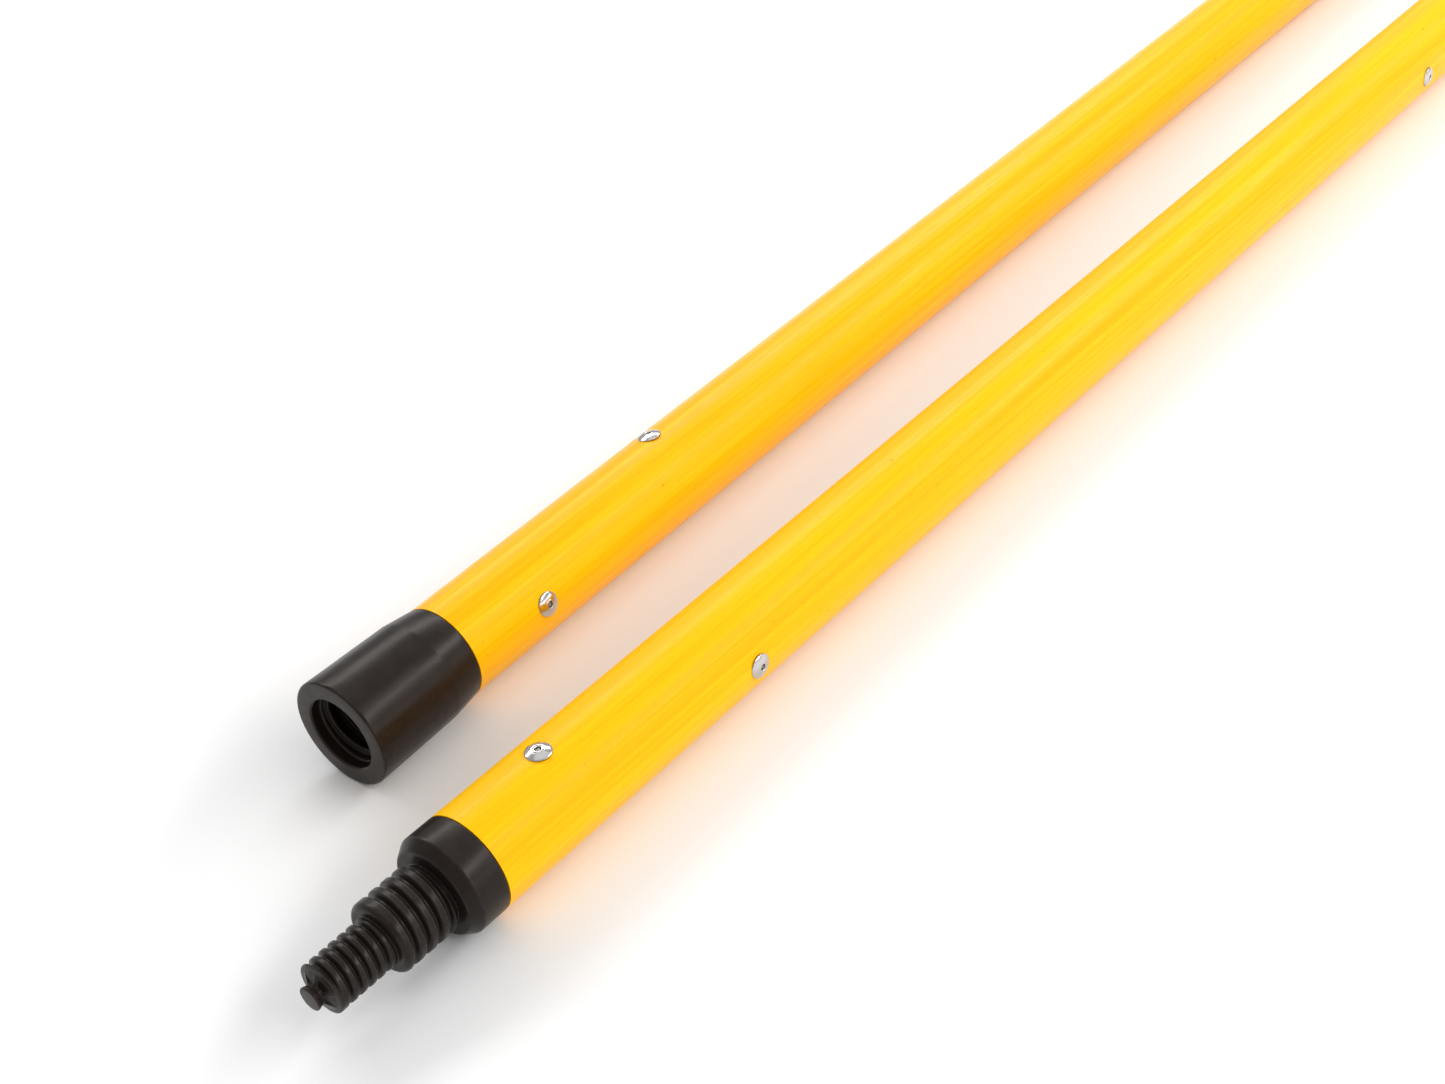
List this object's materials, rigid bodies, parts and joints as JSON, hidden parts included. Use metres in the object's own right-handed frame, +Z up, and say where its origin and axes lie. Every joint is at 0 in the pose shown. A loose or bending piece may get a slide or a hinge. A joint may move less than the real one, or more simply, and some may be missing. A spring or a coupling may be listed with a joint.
{
  "type": "roller extension pole",
  "caption": "Screw-together extension pole for a paint roller: glass-fibre tube sections with a threaded socket and a two-stage male end, laid side by side.",
  "frame": {"origin": "middle of the whole model's box, on the surface that both sections lie on", "axes": "+X along section a, from its socket to its male end; +Y from section b to section a; +Z up"},
  "size_m": [0.8462, 0.1248, 0.0364],
  "materials": {
    "yellow_tube": "glossy pultruded glass fibre with fine lengthwise streaks",
    "black_nylon": "satin moulded nylon, brownish black",
    "rivet_aluminium": "bright domed blind rivet",
    "mandrel_steel": "broken steel mandrel end, dull"
  },
  "bodies": {
    "section_a": {"section_a_male_end": "black_nylon", "section_a_male_mandrel_far": "mandrel_steel", "section_a_male_mandrel_near": "mandrel_steel", "section_a_male_rivet_far": "rivet_aluminium", "section_a_male_rivet_near": "rivet_aluminium", "section_a_socket_end": "black_nylon", "section_a_socket_mandrel_far": "mandrel_steel", "section_a_socket_mandrel_near": "mandrel_steel", "section_a_socket_rivet_far": "rivet_aluminium", "section_a_socket_rivet_near": "rivet_aluminium", "section_a_tube": "yellow_tube"},
    "section_b": {"section_b_male_end": "black_nylon", "section_b_male_mandrel_far": "mandrel_steel", "section_b_male_mandrel_near": "mandrel_steel", "section_b_male_rivet_far": "rivet_aluminium", "section_b_male_rivet_near": "rivet_aluminium", "section_b_socket_end": "black_nylon", "section_b_socket_mandrel_far": "mandrel_steel", "section_b_socket_mandrel_near": "mandrel_steel", "section_b_socket_rivet_far": "rivet_aluminium", "section_b_socket_rivet_near": "rivet_aluminium", "section_b_tube": "yellow_tube"}
  },
  "joints": [
    {"name": "section_b_slide", "type": "slide", "parent": "section_a", "child": "section_b", "axis": [-0.9995, 0.0311, 0], "range_m": [0, 0.72]}
  ]
}
